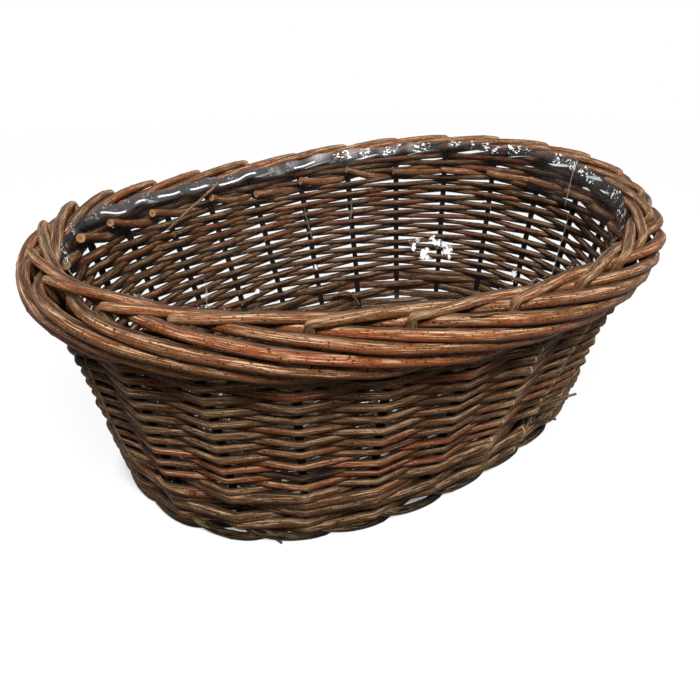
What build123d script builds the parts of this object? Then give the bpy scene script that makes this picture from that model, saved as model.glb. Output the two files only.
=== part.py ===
from build123d import *

import math
import os
from bisect import bisect_right

# Oval willow basket, unpeeled, woven over upright stakes, with a rod border, a low foot
# and a loose clear film liner. Millimetres, +Z up, +X along the long axis of the oval.
# The origin is on the surface it stands on, under the middle of the basket.

# Overall sizes
overall_length = 500.0
overall_width = 428.6
overall_height = 178.5
foot_length = 404.0
foot_width = 284.0
rim_roundness = 1.9
foot_roundness = 2.4

# Rods
stake_count = 26
stake_radius = 2.5
border_radius = 3.6
wale_radius = 2.35
weaver_radius = 2.12
base_stick_radius = 2.4
base_weaver_radius = 1.8
rod_gap = 0.22
kink_radius = 5.5
foot_bend_radius = 11.0
stake_swell = 3.0

# Side weave
border_step = 8.2
wale_pitch = 5.2
weave_pitch = 4.53
wale_rod_count = 6
side_row_count = 21
top_row_count = 3
side_start_stride = 7
wale_start_stride = 5
row_end_share = 0.12
top_row_share = 2.0

# Foot and base
foot_flat_depth = 0.5
base_weave_pitch = 4.35
base_weave_gap = 0.75
slath_half_width = 14.0
slath_stick_pitch = 9.0
cross_stick_pitch = 13.5
base_edge_gap = 16.0
cross_stick_count = 10
long_stick_count = 3
first_ring_share = 0.28

# Liner: its inset at the border, and where it steps in and stops, in border steps
film_thickness = 0.4
film_wall_gap = 1.6
film_inset_share = 1.2
film_waist_share = 4.5
film_shoulder_share = 3.3

# How the rods bend
least_turn = 0.6
arc_share = 0.45
fine_steps = 1440
ring_steps = 40 * stake_count

# Border rods: stake spacings to the right of the rod's own stake, then how far out and
# how far up, both in border steps. It rises as the stake, kinks, passes inside the next two
# stakes, comes out, lies outside four more, tucks in again and ends inside the basket.
border_rise_share = 1.4
border_reach_share = 1.6
border_drop_share = 0.9
border_shares = [
    (0.0, 0.0, 0.85),
    (0.5, -0.4, border_rise_share),
    (1.0, -1.05, 1.26),
    (1.5, -1.32, 0.73),
    (2.0, -1.18, 0.08),
    (2.5, 0.0, 0.02),
    (3.0, 1.1, 0.05),
    (3.5, 1.48, -0.38),
    (4.0, border_reach_share, -border_drop_share),
    (4.5, 1.58, -1.36),
    (5.0, 1.48, -1.83),
    (5.5, 1.35, -2.32),
    (6.0, 1.08, -2.82),
    (6.5, 0.0, -2.78),
    (7.0, -1.12, -2.74),
    (7.22, -1.2, -2.72),
]

# Foot of a stake: spacings to the right, out in foot steps, and up in foot steps, from the
# height of the lowest rods. It comes down over the end of the rod before it, lies outside
# the next stake on the ground and tucks in under the base.
foot_reach_share = 1.22
foot_shares = [
    (2.05, -1.5, 0.0),
    (1.8, -1.0, 0.0),
    (1.4, 0.28, 0.0),
    (1.15, 1.08, 0.0),
    (0.9, foot_reach_share, 0.0),
    (0.72, 1.15, 0.14),
    (0.35, 0.8, 1.04),
    (0.06, 0.12, 1.22),
]

# Sizes that follow from those above
border_level = overall_height - border_rise_share * border_step - border_radius
widest_level = border_level - border_drop_share * border_step
border_reach = border_reach_share * border_step + border_radius
foot_step = 2 * stake_radius + rod_gap
foot_reach = foot_reach_share * foot_step + stake_radius
foot_half_length = foot_length / 2 - foot_reach
foot_half_width = foot_width / 2 - foot_reach
length_flare = (overall_length / 2 - border_reach - foot_half_length) / widest_level
width_flare = (overall_width / 2 - border_reach - foot_half_width) / widest_level
rim_half_length = foot_half_length + length_flare * border_level
rim_half_width = foot_half_width + width_flare * border_level
foot_level = stake_radius - foot_flat_depth
wale_start = foot_level + 2 * foot_step + 2 * rod_gap
weave_start = wale_start + wale_rod_count * wale_pitch - (wale_radius - weaver_radius)
top_row_start = border_level - top_row_share * border_step
top_row_end = top_row_start + (top_row_count - 1) * weave_pitch
swell_start = top_row_end + weaver_radius + rod_gap
base_level = foot_level + stake_radius + base_stick_radius + rod_gap
slath_level = base_level + 2 * base_stick_radius + rod_gap
film_level = slath_level + base_stick_radius + rod_gap
slath_half_length = (cross_stick_count + 1) / 2 * cross_stick_pitch
slath_edge = slath_half_width + slath_stick_pitch / 2


def oval_ring(half_length, half_width, roundness):
    """Points at equal steps along an oval, anticlockwise from its +X end."""
    fine = []
    for step in range(fine_steps + 1):
        angle = 2 * math.pi * step / fine_steps
        along = abs(math.cos(angle) / half_length) ** roundness
        across = abs(math.sin(angle) / half_width) ** roundness
        reach = (along + across) ** (-1 / roundness)
        fine.append(Vector(reach * math.cos(angle), reach * math.sin(angle)))
    lengths = [0.0]
    for here, after in zip(fine, fine[1:]):
        lengths.append(lengths[-1] + (after - here).length)
    ring = []
    for step in range(ring_steps):
        wanted = lengths[-1] * step / ring_steps
        low = bisect_right(lengths, wanted) - 1
        part = (wanted - lengths[low]) / (lengths[low + 1] - lengths[low])
        ring.append(fine[low] + (fine[low + 1] - fine[low]) * part)
    return ring


foot_ring = oval_ring(foot_half_length, foot_half_width, foot_roundness)
rim_ring = oval_ring(rim_half_length, rim_half_width, rim_roundness)


def wall_line(step, height):
    """A point of the wall's middle surface, which is straight from the foot to the border."""
    foot = foot_ring[step % ring_steps]
    rim = rim_ring[step % ring_steps]
    spot = foot + (rim - foot) * (height / border_level)
    return Vector(spot.X, spot.Y, height)


def wall_side(place, height):
    """Which way is straight out of the wall, level, at a place counted in stake spacings."""
    step = round(place * ring_steps / stake_count)
    along = wall_line(step + 1, height) - wall_line(step - 1, height)
    return Vector(along.Y, -along.X, 0).normalized()


def wall_point(place, out, height):
    """A point by its place around the wall in stake spacings, its distance out and height."""
    exact = place * ring_steps / stake_count
    step = math.floor(exact)
    here = wall_line(step, height)
    after = wall_line(step + 1, height)
    return here + (after - here) * (exact - step) + wall_side(place, height) * out


def turns_at(before, here, after):
    """Whether a rod's straight runs turn enough at a point to need an arc."""
    return (here - before).get_angle(after - here) > least_turn


def arc_at(before, here, after, bend):
    """The radius of a rod's arc at a corner, and how far inside the corner it passes."""
    turn = math.radians((here - before).get_angle(after - here))
    shorter = min((here - before).length, (after - here).length)
    radius = min(bend, arc_share * shorter / math.tan(turn / 2))
    return radius, radius / math.cos(turn / 2) - radius


def rod(points, radius, bends):
    """A round rod along straight runs joined by arcs no larger than the bend at each point."""
    kept = [(points[0], bends[0])]
    for here, after, bend in zip(points[1:], points[2:], bends[1:]):
        if turns_at(kept[-1][0], here, after):
            kept.append((here, bend))
    kept.append((points[-1], bends[-1]))
    radii = []
    for (before, _), (here, bend), (after, _) in zip(kept, kept[1:], kept[2:]):
        radii.append(arc_at(before, here, after, bend)[0])
    line = FilletPolyline(*[point for point, _ in kept], radius=radii)
    start = Plane(origin=line @ 0, z_dir=line % 0)
    return sweep(start * Circle(radius), path=line)


def woven_rod(points, pushes, radius, bend):
    """A rod that wraps what it passes: each corner is pushed off by what its arc cuts."""
    eased = [points[0]]
    for before, here, after, push in zip(points, points[1:], points[2:], pushes[1:]):
        loss = 0
        if turns_at(before, here, after):
            loss = arc_at(before, here, after, bend)[1]
        eased.append(here + push * loss)
    eased.append(points[-1])
    return rod(eased, radius, [bend] * len(eased))


def tapered_joint(low, high, low_radius, high_radius):
    """The swelling between a thin and a thick stretch of one rod."""
    axis = Plane(origin=low, z_dir=high - low)
    return Solid.make_cone(low_radius, high_radius, (high - low).length, axis)


def side_stake(number):
    """One rod from its tucked foot, up the wall and through the border to its cut end."""
    points = []
    for spacings, out, up in foot_shares:
        height = foot_level + up * foot_step
        points.append(wall_point(number + spacings, out * foot_step, height))
    points.append(wall_point(number, 0, wale_start))
    points.append(wall_point(number, 0, swell_start))
    stake = rod(points, stake_radius, [foot_bend_radius] * len(points))
    top = [wall_point(number, 0, swell_start + stake_swell)]
    for spacings, out, up in border_shares:
        height = border_level + up * border_step
        top.append(wall_point(number + spacings, out * border_step, height))
    bends = [overall_length] * len(top)
    bends[1] = kink_radius
    whole = stake + tapered_joint(points[-1], top[0], stake_radius, border_radius)
    whole = whole + rod(top, border_radius, bends)
    ground = Pos(0, 0, -overall_height) * Box(
        2 * overall_length, 2 * overall_width, 2 * overall_height
    )
    return whole - ground


def weaver(height, radius, start, inside, spans):
    """One rod woven round the stakes at a height, out except where inside() says in."""
    clear = stake_radius + radius + rod_gap
    flare = math.atan(width_flare)
    points = []
    pushes = []
    for span in range(spans + 1):
        place = start + span
        if span == 0:
            place += row_end_share
        if span == spans:
            place -= row_end_share
        side = -1 if span in (0, spans) or inside(span) else 1
        points.append(wall_point(place, side * clear / math.cos(flare), height))
        pushes.append(wall_side(place, height) * side)
    return woven_rod(points, pushes, radius, clear)


def side_row(row):
    """One round of plain weave from two rods, whose ends lie inside behind a stake."""
    height = weave_start + row * weave_pitch
    if row >= side_row_count:
        height = top_row_start + (row - side_row_count) * weave_pitch
    first = side_start_stride * row % stake_count
    first += (first + row) % 2
    half = stake_count // 2 - stake_count // 2 % 2
    rods = []
    for start, spans in ((first, half), (first + half, stake_count - half)):
        rods.append(weaver(height, weaver_radius, start, lambda span: span % 2 == 0, spans))
    return rods


def wale_rod(row):
    """One rod of the heavier weave at the bottom: outside two stakes and inside the third."""
    height = wale_start + row * wale_pitch
    start = wale_start_stride * row
    return weaver(height, wale_radius, start, lambda span: span % 3 == 0, stake_count)


def stick_place(number):
    """Where a base stick leaves the slath and where it meets the wall."""
    number = number % stake_count
    ends = long_stick_count // 2
    rim = wall_point(number, -base_edge_gap / 2, base_level)
    turns = stake_count // 2
    beside = number if number <= turns else number - stake_count
    if abs(beside) <= ends:
        inner = Vector(slath_half_length, beside * slath_stick_pitch, base_level)
    elif abs(beside) >= turns - ends:
        lane = (turns - abs(beside)) * (1 if beside > 0 else -1)
        inner = Vector(-slath_half_length, lane * slath_stick_pitch, base_level)
    else:
        column = abs(beside) - ends - 1
        x = ((cross_stick_count - 1) / 2 - column) * cross_stick_pitch
        side = 1 if beside > 0 else -1
        inner = Vector(x, side * slath_edge, base_level)
    return inner, rim


def long_sticks():
    """Sticks along the basket that pass over the cross sticks in the middle of the base."""
    reach = cross_stick_count / 2 * cross_stick_pitch
    sticks = []
    for lane in range(-(long_stick_count // 2), long_stick_count // 2 + 1):
        right_inner, right_rim = stick_place(lane)
        left_inner, left_rim = stick_place(stake_count // 2 - lane)
        y = lane * slath_stick_pitch
        points = [left_rim, left_inner, Vector(-reach, y, slath_level)]
        points += [Vector(reach, y, slath_level), right_inner, right_rim]
        sticks.append(rod(points, base_stick_radius, [foot_bend_radius] * len(points)))
    return sticks


def cross_sticks():
    """Sticks across the basket, bent apart where they leave the slath."""
    sticks = []
    for column in range(cross_stick_count):
        number = long_stick_count // 2 + 1 + column
        up_inner, up_rim = stick_place(number)
        down_inner, down_rim = stick_place(-number)
        points = [down_rim, down_inner, up_inner, up_rim]
        sticks.append(rod(points, base_stick_radius, [foot_bend_radius] * len(points)))
    return sticks


def base_rings():
    """Rounds of weave over and under the base sticks, from the slath out to the wall."""
    lift = base_stick_radius + base_weaver_radius + base_weave_gap
    depth = foot_half_width - base_edge_gap - slath_edge
    rings = int(depth * (1 - first_ring_share) / base_weave_pitch) + 1
    all_rings = []
    for ring in range(rings):
        part = first_ring_share + (1 - first_ring_share) * ring / (rings - 1)
        points = []
        pushes = []
        for number in range(stake_count + 1):
            inner, rim = stick_place(number + ring)
            edge = rim + (inner - rim).normalized() * (base_edge_gap / 2)
            push = Vector(0, 0, 1 if number % 2 else -1)
            points.append(inner + (edge - inner) * part + push * lift)
            pushes.append(push)
        points[0] = points[0] + (points[1] - points[0]) * row_end_share
        points[-1] = points[-1] + (points[-2] - points[-1]) * row_end_share
        all_rings.append(woven_rod(points, pushes, base_weaver_radius, lift))
    return all_rings


def film_loft(sections):
    """A solid through the oval of the wall, moved in by each inset at each height."""
    ovals = []
    for inset, height in sections:
        points = [wall_point(place, -inset, height) for place in range(stake_count)]
        ovals.append(Face(Wire(Spline(*points, periodic=True))))
    return loft(ovals, ruled=True)


def liner():
    """The loose clear film inside, open at the top, under the inner edge of the border."""
    wall = 2 * weaver_radius + stake_radius + film_wall_gap
    rim = film_inset_share * border_step + border_radius + film_wall_gap
    waist = border_level - film_waist_share * border_step
    shoulder = border_level - film_shoulder_share * border_step
    top = border_level + border_step
    shell = film_loft([(wall, film_level), (wall, waist), (rim, shoulder), (rim, top)])
    wall += film_thickness
    rim += film_thickness
    floor = film_level + film_thickness
    above = top + film_thickness
    return shell - film_loft([(wall, floor), (wall, waist), (rim, shoulder), (rim, above)])


def main():
    os.makedirs("parts", exist_ok=True)
    for number in range(stake_count):
        export_step(side_stake(number), f"parts/side_stake_{number + 1:02d}.step")
    for row in range(side_row_count):
        export_step(Compound(children=side_row(row)), f"parts/side_weave_{row + 1:02d}.step")
    top_rows = []
    for row in range(top_row_count):
        top_rows += side_row(side_row_count + row)
    export_step(Compound(children=top_rows), "parts/top_weave.step")
    wale = [wale_rod(row) for row in range(wale_rod_count)]
    half = wale_rod_count // 2
    export_step(Compound(children=wale[:half]), "parts/lower_wale.step")
    export_step(Compound(children=wale[half:]), "parts/upper_wale.step")
    export_step(Compound(children=long_sticks()), "parts/base_long_sticks.step")
    export_step(Compound(children=cross_sticks()), "parts/base_cross_sticks.step")
    export_step(Compound(children=base_rings()), "parts/base_weave.step")
    export_step(liner(), "parts/film_liner.step")


main()
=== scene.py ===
import math
import random

import bmesh
import bpy
import numpy as np
from mathutils import Matrix, Vector, noise


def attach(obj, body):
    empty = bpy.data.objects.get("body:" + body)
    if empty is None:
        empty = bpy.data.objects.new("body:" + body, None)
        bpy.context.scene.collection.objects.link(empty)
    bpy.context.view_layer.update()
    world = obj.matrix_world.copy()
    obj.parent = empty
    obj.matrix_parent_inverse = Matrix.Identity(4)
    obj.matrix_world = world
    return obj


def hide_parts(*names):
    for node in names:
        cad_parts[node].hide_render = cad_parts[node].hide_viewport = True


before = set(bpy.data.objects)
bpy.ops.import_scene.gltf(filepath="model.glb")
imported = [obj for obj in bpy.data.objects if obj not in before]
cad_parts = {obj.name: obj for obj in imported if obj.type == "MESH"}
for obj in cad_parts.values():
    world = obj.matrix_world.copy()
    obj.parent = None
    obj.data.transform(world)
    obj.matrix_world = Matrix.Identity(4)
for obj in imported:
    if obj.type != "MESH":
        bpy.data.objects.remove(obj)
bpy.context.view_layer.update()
noise.seed_set(26)       # unseeded, noise_vector takes its offset from the clock


# Base sticks. Three long sticks lie over ten cross sticks, and fan out to the wall, where
# each ends inside the foot. They are short lengths of the same unpeeled willow.
stakes = 26
foot_half = (0.19313, 0.13313)
rim_half = (0.23518, 0.20063)
foot_roundness = 2.4
rim_roundness = 1.9
border_level = 0.16342
even_level = 0.03
rim_lift_mm = (9, 10, 8.5, 5, 0, -5.5, -9.5, -9.5, -8.5, -3.5, 2, 4, -1,
               -1, 0, 0, 0, 0, 0, 0, 0, 0, 1, 2.5, 5, 8)
base_level = 0.00712
slath_level = 0.01214
slath_lane = 0.009
slath_column = 0.0135
slath_end = (0.07425, 0.0185)
slath_bend = 0.0675
stick_end_gap = 0.008
stick_girth = (0.0025, 0.0022)
base_ring = 0.006
half_way = stakes // 2
ring_steps = 1040
lift_blend = 30
knot_length = 0.0018
first_knot = (0.01, 0.04)
knot_spacing = (0.026, 0.058)
cut_insets = (0.14, 0.3, 0.34)
pith_shade = 0.45


def reached(line):
    """How far along a line of points each of them lies."""
    steps = np.linalg.norm(np.diff(line, axis=0), axis=1)
    return np.concatenate([[0], np.cumsum(steps)])


def oval_ring(half, roundness):
    """Points at equal steps along an oval, anticlockwise from its +X end."""
    angle = np.linspace(0, 2 * math.pi, 4 * ring_steps + 1)
    across = np.abs(np.cos(angle) / half[0]) ** roundness
    across += np.abs(np.sin(angle) / half[1]) ** roundness
    reach = across ** (-1 / roundness)
    line = np.stack([reach * np.cos(angle), reach * np.sin(angle)], axis=1)
    length = reached(line)
    wanted = np.linspace(0, length[-1], ring_steps + 1)
    return np.stack([np.interp(wanted, length, line[:, axis]) for axis in (0, 1)], axis=1)


foot_ring = oval_ring(foot_half, foot_roundness)
rim_ring = oval_ring(rim_half, rim_roundness)
lift_ring = np.interp(np.arange(ring_steps) * stakes / ring_steps, np.arange(stakes + 1),
                      [*rim_lift_mm, rim_lift_mm[0]]) * 0.001
blend = range(-lift_blend, lift_blend + 1, 3)
lift_ring = np.mean([np.roll(lift_ring, shift) for shift in blend], axis=0)


def on_wall(place, out, height):
    """A point by its place round the wall in stake spacings, its distance out and height.

    The wall was built by eye, so towards the border it stands a little high or low."""
    step = place * ring_steps / stakes
    spots = []
    for offset in (-2, 0, 2):
        at = (step + offset) % ring_steps
        low = int(at)
        foot = foot_ring[low] + (foot_ring[low + 1] - foot_ring[low]) * (at - low)
        rim = rim_ring[low] + (rim_ring[low + 1] - rim_ring[low]) * (at - low)
        spots.append(foot + (rim - foot) * (height / border_level))
    along = spots[2] - spots[0]
    side = np.array([along[1], -along[0]]) / np.linalg.norm(along)
    spot = spots[1] + side * out
    share = min(1, max(0, (height - even_level) / (border_level - even_level)))
    lift = lift_ring[int(step) % ring_steps] * share ** 2
    return np.array([spot[0], spot[1], height + lift])


def rounded(route, passes):
    """A rod's route with its corners rounded off, as green willow bends. Ends stay."""
    route = np.array(route)
    for _ in range(passes):
        near = route[:-1] * 0.75 + route[1:] * 0.25
        far = route[:-1] * 0.25 + route[1:] * 0.75
        middle = np.empty((2 * len(near), route.shape[1]))
        middle[0::2] = near
        middle[1::2] = far
        route = np.concatenate([route[:1], middle[1:-1], route[-1:]])
    return route


def grown(route, luck, ring, wander=0.0003):
    """A route (x, y, z, radius, split, darkening) as even rings of a grown rod, with its knots."""
    length = reached(route[:, :3])
    count = max(4, int(length[-1] / ring))
    wanted = np.linspace(0, length[-1], count)
    rings = np.stack([np.interp(wanted, length, route[:, column]) for column in range(6)], axis=1)
    start = luck.uniform(0, 90)
    knots = np.zeros(count)
    at = luck.uniform(*first_knot)
    while at < length[-1]:
        knots += np.exp(-(((wanted - at) / knot_length) ** 2))
        at += luck.uniform(*knot_spacing)
    for number, along in enumerate(wanted):
        drift = noise.noise_vector((start, along * 26, 0.5))
        rings[number, :3] += np.array(drift) * wander
        grain = noise.noise((start, along * 21, 7.5)) + 0.4 * noise.noise((start, along * 90, 3.5))
        rings[number, 3] *= 1 + 0.08 * grain + 0.1 * knots[number]
    return np.column_stack([rings, knots, wanted + start])


def willow(name, rods, bark, sides=10, tall=1.0):
    """One piece of grown rods, each with a tone, as round tubes with clean cut ends.

    Its look is the tone with the darkening added, the split, the knots and, in the fourth place,
    the cut wood."""
    curve = bpy.data.curves.new(name, "CURVE")
    curve.dimensions = "3D"
    curve.bevel_depth = 1
    curve.bevel_resolution = (sides - 4) // 2
    for rings, _ in rods:
        spline = curve.splines.new("POLY")
        spline.points.add(len(rings) - 1)
        places = np.column_stack([rings[:, :3], np.ones(len(rings))])
        spline.points.foreach_set("co", places.ravel())
        spline.points.foreach_set("radius", rings[:, 3].copy())
    shape = bpy.data.objects.new(name, curve)
    mesh = bpy.data.meshes.new_from_object(shape)
    bpy.data.objects.remove(shape)
    bpy.data.curves.remove(curve)

    rings = np.concatenate([rings for rings, _ in rods])
    tones = np.concatenate([np.full(len(rings), tone) for rings, tone in rods])
    spots = np.empty(len(mesh.vertices) * 3)
    mesh.vertices.foreach_get("co", spots)
    offset = spots.reshape(len(rings), sides, 3) - rings[:, None, :3]
    upper = offset[:, :, 2] / rings[:, None, 3]
    offset[:, :, 2] *= tall
    mesh.vertices.foreach_set("co", (rings[:, None, :3] + offset).ravel())
    turn = np.arange(sides) * 2 * math.pi / sides
    skin = np.broadcast_arrays(np.cos(turn), np.sin(turn), rings[:, 7:8])
    look = np.broadcast_arrays((tones + rings[:, 5])[:, None], rings[:, 4:5], rings[:, 6:7],
                               np.zeros(sides))
    for label, kind, field, values in (
            ("skin", "FLOAT_VECTOR", "vector", np.stack(skin, axis=2)),
            ("look", "FLOAT_COLOR", "color", np.stack(look, axis=2)),
            ("upper", "FLOAT", "value", upper)):
        mesh.attributes.new(label, kind, "POINT").data.foreach_set(field, values.ravel())

    shape = bmesh.new()
    shape.from_mesh(mesh)
    cuts = bmesh.ops.holes_fill(shape, edges=[e for e in shape.edges if e.is_boundary], sides=0)
    looks = shape.verts.layers.float_color["look"]
    for cut in cuts["faces"]:
        cut.material_index = 1
        reach = (cut.verts[0].co - cut.calc_center_median()).length
        for share in cut_insets:
            bmesh.ops.inset_individual(shape, faces=[cut], thickness=reach * share, depth=0)
        for face in {f for v in cut.verts for f in v.link_faces}:
            face.material_index = 1
    for vert in shape.verts:
        if all(face.material_index == 1 for face in vert.link_faces):
            vert[looks][3] = 1
    for cut in cuts["faces"]:
        for vert in cut.verts:
            vert[looks][3] = pith_shade
    bmesh.ops.recalc_face_normals(shape, faces=shape.faces)
    for face in shape.faces:
        face.smooth = face.material_index == 0
    shape.to_mesh(mesh)
    shape.free()
    piece = bpy.data.objects.new(name, mesh)
    bpy.context.scene.collection.objects.link(piece)
    mesh.materials.append(bark)
    mesh.materials.append(cut_wood)
    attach(piece, "root")
    return piece


def wire(tree, kind, inputs, **settings):
    """One shader node with its settings, and its inputs given as values or as links."""
    made = tree.nodes.new(kind)
    for key, value in settings.items():
        setattr(made, key, value)
    for key, value in inputs.items():
        if isinstance(value, bpy.types.NodeSocket):
            tree.links.new(value, made.inputs[key])
        else:
            made.inputs[key].default_value = value
    return made


def blended(tree, share, first, second):
    """A colour mixed from two others by a share."""
    mixed = wire(tree, "ShaderNodeMix", {0: share, 6: first, 7: second}, data_type="RGBA")
    return mixed.outputs[2]


def worked(tree, kind, first, second=0.0, clamp=False):
    """The result of one sum."""
    made = wire(tree, "ShaderNodeMath", {0: first, 1: second}, operation=kind, use_clamp=clamp)
    return made.outputs[0]


def times(tree, first, second):
    """Two values multiplied."""
    return worked(tree, "MULTIPLY", first, second)


def place_sum(tree, kind, first, second=(0, 0, 0)):
    """The result of one sum with places: a number for a length or a product, else a place."""
    made = wire(tree, "ShaderNodeVectorMath", {0: first, 1: second}, operation=kind)
    return made.outputs["Value" if kind in ("LENGTH", "DOT_PRODUCT") else "Vector"]


def eased(tree, value, low, high):
    """A value stretched to run smoothly from 0 at low to 1 at high."""
    kind = {"Value": value, "From Min": low, "From Max": high}
    return wire(tree, "ShaderNodeMapRange", kind, interpolation_type="SMOOTHSTEP").outputs[0]


def speckle(tree, at, stretch, size, detail=3.0, rough=0.6):
    """Noise at a place, with the place stretched first."""
    at = place_sum(tree, "MULTIPLY", at, stretch)
    kind = {"Vector": at, "Scale": size, "Detail": detail, "Roughness": rough}
    return wire(tree, "ShaderNodeTexNoise", kind).outputs["Fac"]


def effect(name, inputs, outputs):
    """An empty node group with its named sockets."""
    group = bpy.data.node_groups.new(name, "ShaderNodeTree")
    kinds = {"colour": "NodeSocketColor", "value": "NodeSocketFloat"}
    for label, kind in inputs:
        group.interface.new_socket(name=label, in_out="INPUT", socket_type=kinds[kind])
    for label, kind in outputs:
        group.interface.new_socket(name=label, in_out="OUTPUT", socket_type=kinds[kind])
    return group, group.nodes.new("NodeGroupInput"), group.nodes.new("NodeGroupOutput")


group, given, made = effect(
    "Willow bark",
    [("Shade", "colour"), ("Ground", "colour"), ("Flush", "colour"), ("Worn streaks and highlight", "colour"),
     ("Split", "colour"), ("Gloss loss", "value"), ("Painted crevice shade", "value")],
    [("Colour", "colour"), ("Roughness", "value"), ("Height", "value")])
skin = wire(group, "ShaderNodeAttribute", {}, attribute_name="skin").outputs["Vector"]
look = wire(group, "ShaderNodeAttribute", {}, attribute_name="look").outputs["Color"]
upper = wire(group, "ShaderNodeAttribute", {}, attribute_name="upper").outputs["Fac"]
marks = wire(group, "ShaderNodeSeparateColor", {0: look})
tone, split_mark, knot_mark = (marks.outputs[label] for label in ("Red", "Green", "Blue"))
patches = speckle(group, skin, (0.35, 0.35, 16.0), 1.0)
streaks = speckle(group, skin, (4.6, 4.6, 36.0), 1.5, 5.0)
grain = speckle(group, skin, (7.0, 7.0, 60.0), 1.6, 3.0)
flecks = speckle(group, skin, (2.4, 2.4, 380.0), 1.4, 2.0)
wrinkles = speckle(group, skin, (3.4, 3.4, 70.0), 1.3, 3.0, 0.7)

lean = worked(group, "ADD", tone, worked(group, "SUBTRACT", patches, 0.5))
tint = blended(group, eased(group, lean, -0.1, 0.3),
               given.outputs["Shade"], given.outputs["Ground"])
tint = blended(group, eased(group, lean, 0.7, 0.98), tint, given.outputs["Flush"])
# Pale worn streaks, pushed towards the top of each rod as a painted highlight.
worn_streaks_and_highlight = worked(group, "ADD", streaks, times(group, upper, 0.1))
worn_streaks_and_highlight = times(group, eased(group, worn_streaks_and_highlight, 0.54, 0.7), eased(group, lean, -0.2, 0.4))
tint = blended(group, worn_streaks_and_highlight, tint, given.outputs["Worn streaks and highlight"])
# Painted shade: each rod goes dark along its top and bottom edges, where rods meet, and below.
both_sides = eased(group, worked(group, "ABSOLUTE", upper), 0.68, 1.0)
under = times(group, eased(group, times(group, upper, -1.0), 0.0, 0.85), 0.85)
dark = times(group, worked(group, "MAXIMUM", both_sides, under), given.outputs["Painted crevice shade"])
dark = worked(group, "MAXIMUM", dark, times(group, eased(group, flecks, 0.58, 0.65), 0.9))
dark = worked(group, "MAXIMUM", dark, times(group, knot_mark, 0.3))
dark = worked(group, "MAXIMUM", dark, times(group, eased(group, grain, 0.5, 0.36), 0.5))
tint = blended(group, dark, tint, given.outputs["Shade"])
split = worked(group, "MINIMUM", split_mark, 1.0)
split = times(group, split, eased(group, wrinkles, 0.47, 0.6))
split = times(group, split, eased(group, split_mark, 1.6, 1.0))
# Split marks past 1.3 draw a thin pale line: split bark and a painted highlight on the crest.
split = worked(group, "MAXIMUM", split, eased(group, split_mark, 1.3, 1.6), clamp=True)
tint = blended(group, split, tint, given.outputs["Split"])
group.links.new(tint, made.inputs["Colour"])
dull = worked(group, "ADD", given.outputs["Gloss loss"], times(group, streaks, 0.3))
dull = worked(group, "ADD", dull, times(group, dark, 0.25))
group.links.new(worked(group, "ADD", dull, times(group, split, 0.4), clamp=True),
                made.inputs["Roughness"])
raised = worked(group, "ADD", times(group, streaks, 0.4),
                times(group, grain, 0.7))
raised = worked(group, "SUBTRACT", raised, times(group, split, 0.5))
group.links.new(raised, made.inputs["Height"])
willow_bark = group


def colour(red, green, blue):
    """A colour from its usual 0 to 255 values."""
    shares = [value / 255 for value in (red, green, blue)]
    plain = [s / 12.92 if s <= 0.04045 else ((s + 0.055) / 1.055) ** 2.4 for s in shares]
    return (*plain, 1)


def bark_finish(name, shade, ground, flush, worn_streaks_and_highlight, split, gloss_loss, painted_crevice_shade):
    """Unpeeled willow bark in one range of browns."""
    material = bpy.data.materials.new(name)
    material.use_nodes = True
    tree = material.node_tree
    surface = tree.nodes["Principled BSDF"]
    bark = tree.nodes.new("ShaderNodeGroup")
    bark.node_tree = willow_bark
    for label, value in (("Shade", shade), ("Ground", ground), ("Flush", flush), ("Worn streaks and highlight", worn_streaks_and_highlight),
                         ("Split", split), ("Gloss loss", gloss_loss), ("Painted crevice shade", painted_crevice_shade)):
        bark.inputs[label].default_value = value
    tree.links.new(bark.outputs["Colour"], surface.inputs["Base Color"])
    tree.links.new(bark.outputs["Roughness"], surface.inputs["Roughness"])
    bump = wire(tree, "ShaderNodeBump", {"Height": bark.outputs["Height"], "Strength": 0.9,
                                         "Distance": 0.0007})
    tree.links.new(bump.outputs["Normal"], surface.inputs["Normal"])
    surface.inputs["Specular IOR Level"].default_value = 0.05
    return material


cut_wood = bpy.data.materials.new("Cut willow")
cut_wood.use_nodes = True
tree = cut_wood.node_tree
look = wire(tree, "ShaderNodeAttribute", {}, attribute_name="look")
object_place = wire(tree, "ShaderNodeTexCoord", {}).outputs["Object"]
pores = speckle(tree, object_place, (1, 1, 1), 900.0, 2.0)
wood = blended(tree, pores, colour(140, 98, 54), colour(196, 150, 94))
wood = blended(tree, look.outputs["Alpha"], colour(58, 36, 20), wood)
tree.links.new(wood, tree.nodes["Principled BSDF"].inputs["Base Color"])
tree.nodes["Principled BSDF"].inputs["Roughness"].default_value = 0.8

base_bark = bark_finish("Base bark", colour(16, 9, 5), colour(70, 49, 29), colour(88, 48, 26),
                        colour(132, 104, 72), colour(160, 130, 90), 0.42, 0.8)


def stick_place(number):
    """Where a base stick leaves the middle of the base, and where it ends at the wall."""
    number = number % stakes
    rim = on_wall(number, -stick_end_gap, base_level)
    beside = number if number <= half_way else number - stakes
    if abs(beside) <= 1:
        return np.array([slath_end[0], beside * slath_lane, base_level]), rim
    if abs(beside) >= half_way - 1:
        lane = (half_way - abs(beside)) * (1 if beside > 0 else -1)
        return np.array([-slath_end[0], lane * slath_lane, base_level]), rim
    across = (4.5 - (abs(beside) - 2)) * slath_column
    side = 1 if beside > 0 else -1
    return np.array([across, side * slath_end[1], base_level]), rim


def with_girth(points, radius, end_radius):
    """A route of points with its thickness from one end to the other."""
    girth = np.linspace(radius, end_radius, len(points))
    return np.column_stack([np.array(points), girth, np.zeros((len(points), 2))])


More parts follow.
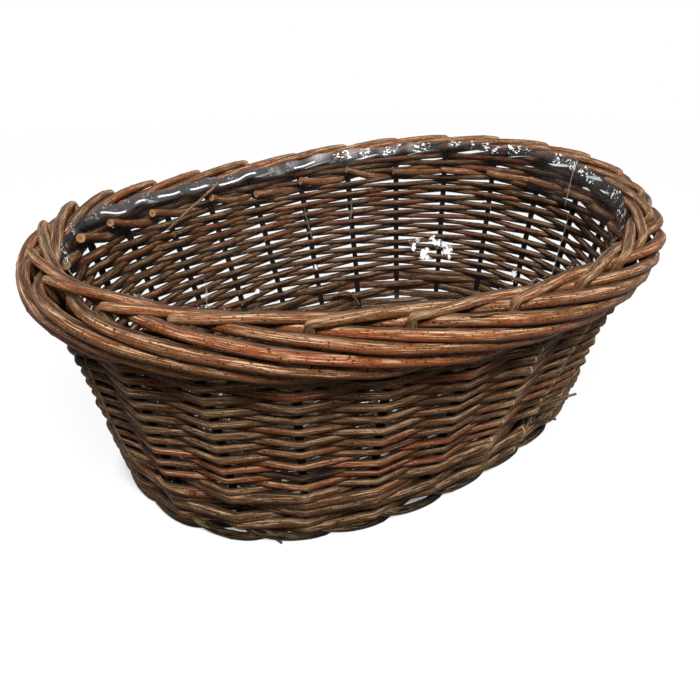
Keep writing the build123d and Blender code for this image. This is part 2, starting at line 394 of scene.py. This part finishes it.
luck = random.Random(11)
long_sticks = []
for lane in (-1, 0, 1):
    right, right_end = stick_place(lane)
    left, left_end = stick_place(half_way - lane)
    lane_y = lane * slath_lane
    points = [left_end, left, (-slath_bend, lane_y, slath_level)]
    points += [(slath_bend, lane_y, slath_level), right, right_end]
    route = rounded(with_girth(points, *stick_girth), 2)
    long_sticks.append((grown(route, luck, base_ring), luck.uniform(0.2, 0.7)))
piece = willow("base_long_sticks_bark", long_sticks, base_bark)
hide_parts("base_long_sticks")

cross_sticks = []
for column in range(10):
    up, up_end = stick_place(2 + column)
    down, down_end = stick_place(-2 - column)
    route = rounded(with_girth([down_end, down, up, up_end], *stick_girth), 2)
    cross_sticks.append((grown(route, luck, base_ring), luck.uniform(0.2, 0.7)))
piece = willow("base_cross_sticks_bark", cross_sticks, base_bark)
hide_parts("base_cross_sticks")


# Base weave. Thin rods go round over one stick and under the next, from the middle of the
# base out to the wall. The middle, where the sticks cross, stays an open grid.
base_rounds = 24
first_round_share = 0.055
round_share = 0.045
base_lift = 0.0044
base_girth = (0.0021, 0.0017)
base_rods = []
for number_round in range(base_rounds):
    share = first_round_share + round_share * number_round
    points = []
    for number in range(stakes + 1):
        inner, rim = stick_place(number + number_round)
        edge = rim + (inner - rim) * (stick_end_gap / np.linalg.norm(inner - rim))
        lift = base_lift * (1.25 if number % 2 else -1)
        points.append(inner + (edge - inner) * share + np.array([0, 0, lift]))
    route = rounded(with_girth(points, *base_girth), 2)
    base_rods.append((grown(route, luck, base_ring), luck.uniform(0.1, 0.8)))
piece = willow("base_weave_bark", base_rods, base_bark, sides=8)
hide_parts("base_weave")


# Side stakes. One whole rod makes a foot, a stake and a border rod: its thin end is tucked
# under the base, it rises as the stake, and at the top it is kinked over and laid in with
# the rods beside it. The bark splits where it is kinked, and the thick end is cut inside.
stake_radius = 0.0025
border_radius = 0.00375
border_step = 0.0082
foot_step = 0.00522
foot_level = 0.0032
foot_radius = 0.0028
# The stake inside the wall is darkened as painted shade; its foot and lower upright are darker.
foot_darkening = -1.0
stake_painted_shade = -1.2
kink_thinning = 0.26
end_thinning = 0.16
end_start = 6.5
end_length = 0.56
wale_start = 0.0092
swell_start = 0.1584
border_shares = [        # spacings along, steps out, steps up, split, darkening
    (0.0, 0.0, 0.2, 0.0, -0.5),
    (0.0, 0.0, 0.85, 0.45, -0.3),
    (0.0, 0.05, 1.16, 0.9, -0.1),
    (0.0, 0.08, 1.36, 1.0, 0.0),
    (0.04, 0.05, 1.39, 1.0, 0.0),
    (0.14, -0.05, 1.37, 0.6, 0.0),
    (0.32, -0.24, 1.33, 0.2, 0.0),
    (0.98, -0.98, 1.1, 0.0, 0.0),
    (1.5, -1.24, 0.7, 0.0, 0.0),
    (2.0, -1.06, 0.22, 0.0, 0.0),
    (2.5, 0.0, 0.28, 0.0, 0.0),
    (3.0, 1.06, 0.3, 0.0, 0.0),
    (3.5, 1.45, -0.16, 0.0, 0.0),
    (4.0, 1.6, -0.7, 0.0, 0.0),
    (4.5, 1.6, -1.22, 0.0, 0.0),
    (5.0, 1.5, -1.74, 0.0, 0.0),
    (5.5, 1.36, -2.27, 0.0, 0.0),
    (6.0, 1.08, -2.78, 0.0, 0.0),
    (6.5, 0.0, -2.72, 0.0, 0.0),
    (6.84, -1.0, -2.45, 0.0, 0.0),
    (7.06, -1.5, -2.2, 0.0, 0.0),
]
foot_shares = [          # spacings along, steps out, steps up, split
    (2.05, -1.5, 0.0, 0.0),
    (1.8, -1.0, 0.0, 0.0),
    (1.4, 0.3, 0.0, 0.0),
    (1.15, 1.08, 0.0, 0.0),
    (0.9, 1.22, 0.0, 0.1),
    (0.6, 1.15, 0.12, 0.2),
    (0.3, 0.85, 0.5, 0.5),
    (0.1, 0.4, 0.9, 0.5),
    (0.0, 0.0, 1.4, 0.2),
]
end_shifts = {0: (0, 0.85), 1: (0.46, 1.1), 2: (0.58, 1.3), 3: (0.6, 1.5), 4: (0.6, 1.2),
              5: (0.5, 0.6), 6: (0.3, 0.2), 7: (0.1, 0), 23: (0, 1.0), 24: (0, 0.5),
              25: (0, 0.2)}
kink_shifts = {15: -0.15, 16: 0.2, 17: 0.2, 18: 0.35, 19: 0.3, 20: 0.15, 21: -0.1}
kink_drops = [0.28] * 6 + [0] * 8 + [0.45] * 9 + [0.28] * 3
rod_tones = {10: 0.45, 11: 0.5, 12: 1.05, 13: 0.85, 14: 0.95, 15: 0.8, 16: 0.5, 17: 0.55}
border_bark = bark_finish("Border bark", colour(13, 6, 3), colour(115, 73, 42),
                          colour(138, 75, 43), colour(220, 180, 144), colour(186, 154, 114),
                          0.26, 0.85)

for number in range(stakes):
    luck = random.Random(100 + number)
    girth = luck.uniform(0.96, 1.09)
    route = []
    for spacings, out, up, split in foot_shares:
        spot = on_wall(number + spacings, out * foot_step, foot_level + up * foot_step)
        route.append([*spot, foot_radius, split, foot_darkening])
    for height in np.linspace(wale_start + 0.008, swell_start, 8):
        lean = kink_shifts.get(number, 0) * (height / swell_start) ** 8
        spot = on_wall(number + lean, 0, height)
        route.append([*spot, stake_radius * (1 + 0.1 * height / swell_start), 0, stake_painted_shade])
    steady = luck.uniform(-0.12, 0.16)
    further, higher = end_shifts.get(number, (0, 0))
    for spacings, out, up, split, darkening in border_shares:
        loose = min(1, spacings)
        late = max(0, spacings - end_start) / end_length
        early = max(0, 1 - 0.7 * spacings)
        spacings += kink_shifts.get(number, 0) * early
        up -= kink_drops[number] * early
        spacings += further * late
        up += higher * late
        out += loose * luck.uniform(-0.06, 0.06)
        up += loose * (luck.uniform(-0.05, 0.05) + steady)
        spot = on_wall(number + spacings, out * border_step, border_level + up * border_step)
        radius = border_radius * girth * (0.92 + 0.02 * spacings)
        radius *= 1 - kink_thinning * split
        radius *= 1 - end_thinning * min(1, late)
        route.append([*spot, radius, split, darkening])
    tone = rod_tones.get(number, luck.uniform(0.3, 1.1))
    rods = [(grown(rounded(route, 3), luck, 0.0016, 0.0004), tone)]
    piece = willow(f"side_stake_{number + 1:02d}_bark", rods, border_bark, sides=14)
    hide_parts(f"side_stake_{number + 1:02d}")


# Waling. Six long rods go round the bottom of the wall, each in front of two stakes and
# behind the third, and lock the stakes upright on the base.
wale_pitch = 0.00585
wale_radii = (0.0029, 0.0027)
wale_tall = 1.55
packed_place = 10
# Thin pale lines on the kinks here: split bark, and a painted highlight on each lit kink crest.
pale_crest_places = (19, 20, 21, 22)
crest_split_and_highlight = 1.9
pale_crest_swell = 1.14
kink_swell = 0.96
kink_half = 0.04
inside_half = 0.1
rod_gap = 0.0001
weave_bark = bark_finish("Weave bark", colour(8, 4, 2), colour(79, 52, 31), colour(106, 53, 29),
                         colour(198, 162, 126), colour(194, 162, 120), 0.34, 0.9)


def woven(start, spans, outside, height_at, radius, end_radius, luck):
    """The route of one rod woven round the stakes, bent sharply where it passes outside."""
    route = []
    for span in range(spans + 1):
        place = start + span
        girth = radius + (end_radius - radius) * span / spans
        packed = 2 * math.pi * (place - packed_place) / stakes
        girth *= 1 + 0.05 * math.cos(packed) + 0.1 * math.cos(2 * packed)
        clear = stake_radius + girth + rod_gap
        nudge = luck.uniform(-0.0005, 0.0005)
        if span in (0, spans):
            beyond = inside_half if span else -inside_half
            spot = on_wall(place + beyond, -clear * 1.05, height_at(place))
            route.append([*spot, girth, 0, 0])
        elif outside(span):
            pale_crest = place % stakes in pale_crest_places
            sharp = luck.uniform(0.1, 0.6) + crest_split_and_highlight * pale_crest
            for beside, share in ((-kink_half, 0.86), (0.0, 0.96), (kink_half, 0.86)):
                spot = on_wall(place + beside, clear * share + nudge, height_at(place + beside))
                at_kink = beside == 0
                swell = (pale_crest_swell if pale_crest else kink_swell) if at_kink else 1
                route.append([*spot, girth * swell, sharp * at_kink, 0])
        else:
            for beside in (-inside_half, inside_half):
                spot = on_wall(place + beside, nudge - clear * 0.74, height_at(place + beside))
                route.append([*spot, girth, 0, 0])
    return grown(rounded(route, 2), luck, 0.002, 0.00022)


def level_at(height, seed, drop):
    """How high a round of weave runs: it wavers a little with the rounds beside it."""
    def at(place):
        turn = 2 * math.pi * place / stakes
        shared = noise.noise((math.cos(turn) * 2.4, math.sin(turn) * 2.4, height * 22))
        own = noise.noise((place * 0.7, seed * 3.7, 2.5))
        return height + shared * drop + own * 0.0011
    return at


for name, rows in (("lower_wale", (0, 1, 2)), ("upper_wale", (3, 4, 5))):
    rods = []
    for row in rows:
        luck = random.Random(300 + row)
        at = level_at(wale_start + row * wale_pitch, row, 0.0006)
        rings = woven(5 * row, stakes, lambda span: span % 3, at, *wale_radii, luck)
        rods.append((rings, luck.uniform(0.2, 0.9)))
    piece = willow(f"{name}_bark", rods, weave_bark, sides=12, tall=wale_tall)
    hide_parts(name)


# Plain weave. The wall is built up in rounds of two rods, out one stake and in the next,
# each half way round, with their ends left inside behind a stake.
side_rounds = 21
top_rounds = 3
weave_pitch = 0.00464
weave_start = 0.04385
top_weave_start = 0.1462
weave_radius = 0.00234
weave_tall = (1.04, 1.3)


def plain_round(row, height):
    """The two rods of one round of plain weave, thick end first."""
    luck = random.Random(500 + row)
    first = 7 * row % stakes
    first += (first + row) % 2
    rods = []
    for start, spans in ((first, 12), (first + 12, 14)):
        thick = weave_radius * luck.uniform(1.0, 1.24)
        thin = weave_radius * luck.uniform(0.8, 1.0)
        if luck.random() < 0.5:
            thick, thin = thin, thick
        at = level_at(height, row + start * 0.1, 0.0012)
        rings = woven(start, spans, lambda span: span % 2, at, thick, thin, luck)
        rods.append((rings, luck.uniform(0.1, 1.12)))
    return rods


for row in range(side_rounds):
    rods = plain_round(row, weave_start + row * weave_pitch)
    taller = (weave_tall[1] - weave_tall[0]) * (row / (side_rounds - 1)) ** 1.5
    piece = willow(f"side_weave_{row + 1:02d}_bark", rods, weave_bark,
                   tall=weave_tall[0] + taller)
    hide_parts(f"side_weave_{row + 1:02d}")

rods = []
for row in range(top_rounds):
    rods += plain_round(side_rounds + row, top_weave_start + row * weave_pitch)
piece = willow("top_weave_bark", rods, weave_bark, tall=weave_tall[1])
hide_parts("top_weave")


# Loose ends. A thin shoot, a curl of bark and a few rod tips that were never trimmed, each a
# route of place, distance out and height, with its thickness, tone and how split it is.
loose_bits = [
    ([(6.88, -0.0185, 0.167), (7.1, -0.0195, 0.1625), (7.38, -0.02, 0.157), (7.78, -0.019, 0.1495),
      (8.06, -0.0165, 0.142), (8.3, -0.011, 0.135)], 0.0014, 0.6, 0.8),
    ([(4.72, -0.009, 0.031), (4.6, -0.0125, 0.0345), (4.42, -0.014, 0.035), (4.24, -0.013, 0.029),
      (4.12, -0.0115, 0.0195)], 0.0018, 0.5, 0.3),
    ([(20.0, 0.004, 0.052), (20.4, 0.009, 0.0505), (20.9, 0.0165, 0.0475)], 0.0011, 0.5, 0.3),
    ([(20.2, 0.005, 0.032), (20.6, 0.009, 0.0275), (20.9, 0.0135, 0.021)], 0.0012, 0.0, 0.3),
    ([(15.42, 0.004, 0.0045), (15.54, 0.0085, 0.0032), (15.6, 0.0105, 0.0024)], 0.001, 0.0, 0.3),
    ([(13.8, 0.006, 0.0405), (14.06, 0.0105, 0.0388), (14.36, 0.0075, 0.0372)], 0.0014, 0.9, 1),
    # A pale strand of split bark down stake 13's kinks, partly a painted highlight of their edges.
    ([(13.46, 0.002, 0.141), (13.46, 0.0078, 0.134), (13.4, 0.0088, 0.108), (13.32, 0.0088, 0.08),
      (13.3, 0.0088, 0.058), (13.4, 0.0082, 0.04), (13.48, 0.002, 0.031)], 0.0009, 0.9, 1),
    ([(17.75, 0.006, 0.169), (17.9, 0.009, 0.17), (18.1, 0.0065, 0.1675)], 0.0009, 0.6, 0.3),
]
bits = []
luck = random.Random(700)
for route, radius, tone, split in loose_bits:
    route = [[*on_wall(*spot), radius * (1 - 0.3 * at / len(route)), split, 0]
             for at, spot in enumerate(route)]
    bits.append((grown(rounded(route, 3), luck, 0.0015, 0.0002), tone))
piece = willow("loose_bits_bark", bits, weave_bark, sides=8)


# Film liner. A loose sheet of thin clear film is pushed down inside, so that the basket can
# hold damp soil. It lies against the weave and ends crumpled on the inner border rods, and
# its glints are painted on.
film_floor = 0.0152
film_round = stakes * 14
film_rise = 72
film_turns = 8.0
film_middle = 0.07
film_edge = (0.95, 0.964)
back_side = 102
end_side = 335
fold_side = 344.2
film = bpy.data.materials.new("Clear film")
film.use_nodes = True
tree = film.node_tree
surface = tree.nodes["Principled BSDF"]
lay = wire(tree, "ShaderNodeAttribute", {}, attribute_name="lay").outputs["Vector"]
height = wire(tree, "ShaderNodeSeparateXYZ", {0: lay}).outputs["Z"]
edge_band = eased(tree, height, *film_edge)


def facing(degrees, from_share, to_share):
    """Where the film hangs on one side of the basket, by that side's angle from +X."""
    turn = math.radians(degrees)
    toward = (math.cos(turn) / film_turns, math.sin(turn) / film_turns, 0)
    return eased(tree, place_sum(tree, "DOT_PRODUCT", lay, toward), from_share, to_share)


def crease_glints(stretch, width):
    """Fine painted glint lines where the film is creased."""
    folds = speckle(tree, lay, stretch, 1.0, 1.0, 0.5)
    line = worked(tree, "ABSOLUTE", worked(tree, "SUBTRACT", folds, 0.5))
    return eased(tree, line, width, width * 0.3)


# Painted glints: white, more opaque spots and lines where the film would catch the light.
crumple_glint_spots = [             # place, rise, size
    (2.6, 0.537, 0.32), (2.08, 0.549, 0.38), (2.36, 0.505, 0.36), (1.76, 0.517, 0.36),
    (5.08, 0.505, 0.16), (6.7, 0.465, 0.24), (6.84, 0.505, 0.18), (25.96, 0.477, 0.24)]
crumple_glints = 0.0
ragged = times(tree, speckle(tree, lay, (3.2, 3.2, 34.0), 1.0, 3.0), 1.2)
for place, rise, size in crumple_glint_spots:
    turn = 2 * math.pi * place / stakes
    centre = (math.cos(turn) * film_turns, math.sin(turn) * film_turns, rise)
    away = place_sum(tree, "SUBTRACT", lay, centre)
    away = place_sum(tree, "MULTIPLY", away, (1, 1, 10))
    away = place_sum(tree, "LENGTH", away)
    away = worked(tree, "ADD", away, ragged)
    crumple_glints = worked(tree, "MAXIMUM", eased(tree, away, size + 0.5, size + 0.38), crumple_glints)
turn = math.radians(fold_side)
across = (-math.sin(turn) / film_turns, math.cos(turn) / film_turns, 0)
fold_glint = place_sum(tree, "DOT_PRODUCT", lay, across)
fold_glint = eased(tree, worked(tree, "ABSOLUTE", fold_glint), 0.005, 0.002)
fold_glint = times(tree, fold_glint, facing(fold_side, 0.8, 0.9))
fold_glint = times(tree, fold_glint, eased(tree, height, 0.46, 0.56))
back_left = facing(back_side, 0.72, 0.86)
patches = eased(tree, speckle(tree, lay, (0.7, 0.7, 3.0), 1.0, 1.0), 0.56, 0.66)
upright = times(tree, crease_glints((1.5, 1.5, 0.8), 0.01), patches)
upright = times(tree, upright, eased(tree, height, 0.78, 0.7))
groups = eased(tree, speckle(tree, lay, (1.4, 1.4, 9.0), 1.0, 1.0), 0.48, 0.58)
sparks = eased(tree, speckle(tree, lay, (8.0, 8.0, 120.0), 1.0, 1.0), 0.56, 0.6)
sparks = times(tree, sparks, groups)
sway = times(tree, speckle(tree, lay, (0.35, 0.35, 0.0), 1.0, 1.0), 0.04)
ridge_glint = worked(tree, "SUBTRACT", height, worked(tree, "ADD", sway, film_edge[0]))
ridge_glint = worked(tree, "ABSOLUTE", ridge_glint)
ridge_glint = times(tree, eased(tree, ridge_glint, 0.005, 0.002), back_left)
gaps = speckle(tree, lay, (0.8, 0.8, 0.0), 1.0, 0.0)
ridge_glint = times(tree, ridge_glint, eased(tree, gaps, 0.46, 0.5))
at_edge = times(tree, sparks, edge_band)
at_edge = times(tree, at_edge, worked(tree, "SUBTRACT", 1.0, times(tree, back_left, 0.75)))
glints = worked(tree, "MAXIMUM", times(tree, upright, 0.4), at_edge)
glints = worked(tree, "MAXIMUM", glints, ridge_glint)
glints = worked(tree, "MAXIMUM", glints, crumple_glints)
glints = worked(tree, "MAXIMUM", glints, times(tree, fold_glint, 0.45))
# The grey band on the top edge is layered film haze and a painted dark reflection.
smooth = worked(tree, "ADD", 0.26, times(tree, back_left, 0.44))
right_end = times(tree, facing(end_side, 0.9, 0.97), eased(tree, height, 0.8, 0.88))
haze_and_dark_reflection = worked(tree, "ADD", times(tree, right_end, 0.2), times(tree, edge_band, smooth))
haze_and_dark_reflection = worked(tree, "ADD", haze_and_dark_reflection, 0.06)
haze_and_glints = worked(tree, "ADD", haze_and_dark_reflection, times(tree, glints, 0.9), clamp=True)
tree.links.new(haze_and_glints, surface.inputs["Alpha"])
haze_and_glint_tint = blended(tree, glints, colour(70, 69, 70), colour(255, 255, 255))
tree.links.new(haze_and_glint_tint, surface.inputs["Base Color"])
surface.inputs["Roughness"].default_value = 0.3
surface.inputs["Specular IOR Level"].default_value = 0.4
bump = wire(tree, "ShaderNodeBump", {"Height": glints, "Strength": 0.4, "Distance": 0.001})
tree.links.new(bump.outputs["Normal"], surface.inputs["Normal"])

shape = bmesh.new()
bmesh.ops.create_grid(shape, x_segments=film_round, y_segments=film_rise, size=1)
lays = shape.verts.layers.float_vector.new("lay")
profile = [              # rise, distance in from the wall, height
    (0.0, 0.0125, film_floor), (0.24, 0.0125, film_floor), (0.28, 0.0125, film_floor + 0.002),
    (0.35, 0.0092, 0.026), (0.74, 0.0092, 0.124), (0.82, 0.0168, 0.135),
    (0.93, 0.0172, 0.158), (1.0, 0.0152, 0.172)]
shares = [row[0] for row in profile]
for vert in shape.verts:
    place = (vert.co.x + 1) / 2 * stakes
    rise = (vert.co.y + 1) / 2
    inset = np.interp(rise, shares, [row[1] for row in profile])
    height = np.interp(rise, shares, [row[2] for row in profile])
    turn = 2 * math.pi * place / stakes
    spot = Vector((math.cos(turn) * 5, math.sin(turn) * 5, rise * 3.2))
    crumple = noise.ridged_multi_fractal(spot * 1.3, 1.0, 2.1, 2, 0.9, 2.0) - 1.2
    loose = min(1, rise * 6) * (0.0014 + 0.0008 * max(0, rise - 0.72) / 0.28)
    height += 0.004 * noise.noise(spot * 1.7) * max(0, rise - 0.7) / 0.3
    spot = Vector(on_wall(place % stakes, -inset - loose * (crumple + 0.6), height))
    middle = Vector((min(film_middle, max(-film_middle, spot.x)), 0, height))
    vert.co = spot.lerp(middle, max(0, 1 - rise / 0.24))
    vert[lays] = (math.cos(turn) * film_turns, math.sin(turn) * film_turns, rise)
bmesh.ops.remove_doubles(shape, verts=shape.verts, dist=0.00005)
for face in shape.faces:
    face.smooth = True
mesh = bpy.data.meshes.new("film_liner_sheet")
shape.to_mesh(mesh)
shape.free()
mesh.materials.append(film)
liner = bpy.data.objects.new("film_liner_sheet", mesh)
bpy.context.scene.collection.objects.link(liner)
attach(liner, "root")
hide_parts("film_liner")


# Floor, light and camera. A plain pale floor, a soft key light above the front left, a weak
# one above the back, and a white room. The floor is darker under the basket. The camera
# stands left of the front, looking slightly down.
near_share = 0.9
foot_share = 0.2
lamp_target = (0, 0, 0.08)
sensor = 36
focal_pixels = 720.012
picture_pixels = 700


def seen_plainly(tree):
    """Whether the camera sees a surface, itself or in gloss and glass."""
    ray = tree.nodes.new("ShaderNodeLightPath").outputs
    seen = worked(tree, "MAXIMUM", ray["Is Camera Ray"], ray["Is Glossy Ray"])
    return worked(tree, "MAXIMUM", seen, ray["Is Transmission Ray"])


floor_paint = bpy.data.materials.new("Floor")
floor_paint.use_nodes = True
tree = floor_paint.node_tree
paint = tree.nodes["Principled BSDF"]
paint.inputs["Roughness"].default_value = 0.9
seen = seen_plainly(tree)
pale = blended(tree, seen, (0.12, 0.12, 0.12, 1), (0.95, 0.95, 0.95, 1))
tree.links.new(pale, paint.inputs["Base Color"])
white = wire(tree, "ShaderNodeEmission", {"Color": (1, 1, 1, 1), "Strength": 1.0}).outputs[0]
object_place = wire(tree, "ShaderNodeTexCoord", {}).outputs["Object"]
away = place_sum(tree, "LENGTH", object_place)
far = wire(tree, "ShaderNodeMapRange", {"Value": away, "From Min": 0.4, "From Max": 1.6,
                                        "To Min": near_share, "To Max": 1.0}).outputs[0]
to_foot = (1 / foot_half[0], 1 / foot_half[1], 0)
beyond = place_sum(tree, "LENGTH", place_sum(tree, "MULTIPLY", object_place, to_foot))
clear_of_foot = wire(tree, "ShaderNodeMapRange", {
    "Value": beyond, "From Min": 1.0, "From Max": 1.12, "To Min": foot_share}).outputs[0]
shown = times(tree, seen, times(tree, far, clear_of_foot))
mixed = wire(tree, "ShaderNodeMixShader", {0: shown, 1: paint.outputs[0], 2: white})
tree.links.new(mixed.outputs[0], tree.nodes["Material Output"].inputs["Surface"])
shape = bmesh.new()
bmesh.ops.create_grid(shape, x_segments=1, y_segments=1, size=8)
mesh = bpy.data.meshes.new("floor")
shape.to_mesh(mesh)
shape.free()
mesh.materials.append(floor_paint)
floor = bpy.data.objects.new("floor", mesh)
bpy.context.scene.collection.objects.link(floor)

world = bpy.data.worlds.new("Room")
world.use_nodes = True
tree = world.node_tree
room = tree.nodes["Background"]
room.inputs["Color"].default_value = (1, 1, 1, 1)
room.inputs["Strength"].default_value = 0.06
white = wire(tree, "ShaderNodeBackground", {"Color": (1, 1, 1, 1), "Strength": 1.0}).outputs[0]
mixed = wire(tree, "ShaderNodeMixShader", {0: seen_plainly(tree), 1: room.outputs[0], 2: white})
tree.links.new(mixed.outputs[0], tree.nodes["World Output"].inputs["Surface"])
bpy.context.scene.world = world

for name, place, size, energy in (("key", (-0.6, -1.15, 1.6), 0.55, 60),
                                  ("top", (0.3, 0.8, 1.5), 0.8, 15)):
    lamp = bpy.data.lights.new(name, "AREA")
    lamp.size = size
    lamp.energy = energy
    lit = bpy.data.objects.new(name, lamp)
    lit.location = place
    aim = Vector(lamp_target) - lit.location
    lit.rotation_euler = aim.to_track_quat("-Z", "Y").to_euler()
    bpy.context.scene.collection.objects.link(lit)

view_turn = math.radians(-40.881)
view_rise = math.radians(23.585)
view_roll = math.radians(-0.896)
view_reach = 0.587456
target = Vector((0, 0, 0.08924))
back = Vector((math.sin(view_turn) * math.cos(view_rise),
               -math.cos(view_turn) * math.cos(view_rise), math.sin(view_rise)))
lens = bpy.data.cameras.new("camera")
lens.sensor_width = sensor
lens.lens = sensor * focal_pixels / picture_pixels
lens.shift_x = -0.01756
lens.shift_y = -0.06996
lens.clip_start = 0.01
camera = bpy.data.objects.new("camera", lens)
camera.location = target + back * view_reach
right = Vector((0, 0, 1)).cross(back).normalized()
up = back.cross(right)
turned_right = right * math.cos(view_roll) + up * math.sin(view_roll)
turned_up = up * math.cos(view_roll) - right * math.sin(view_roll)
view_axes = Matrix([turned_right, turned_up, back]).transposed()
camera.rotation_euler = view_axes.to_euler()
bpy.context.scene.collection.objects.link(camera)
bpy.context.scene.camera = camera
bpy.context.scene.view_settings.view_transform = "Standard"
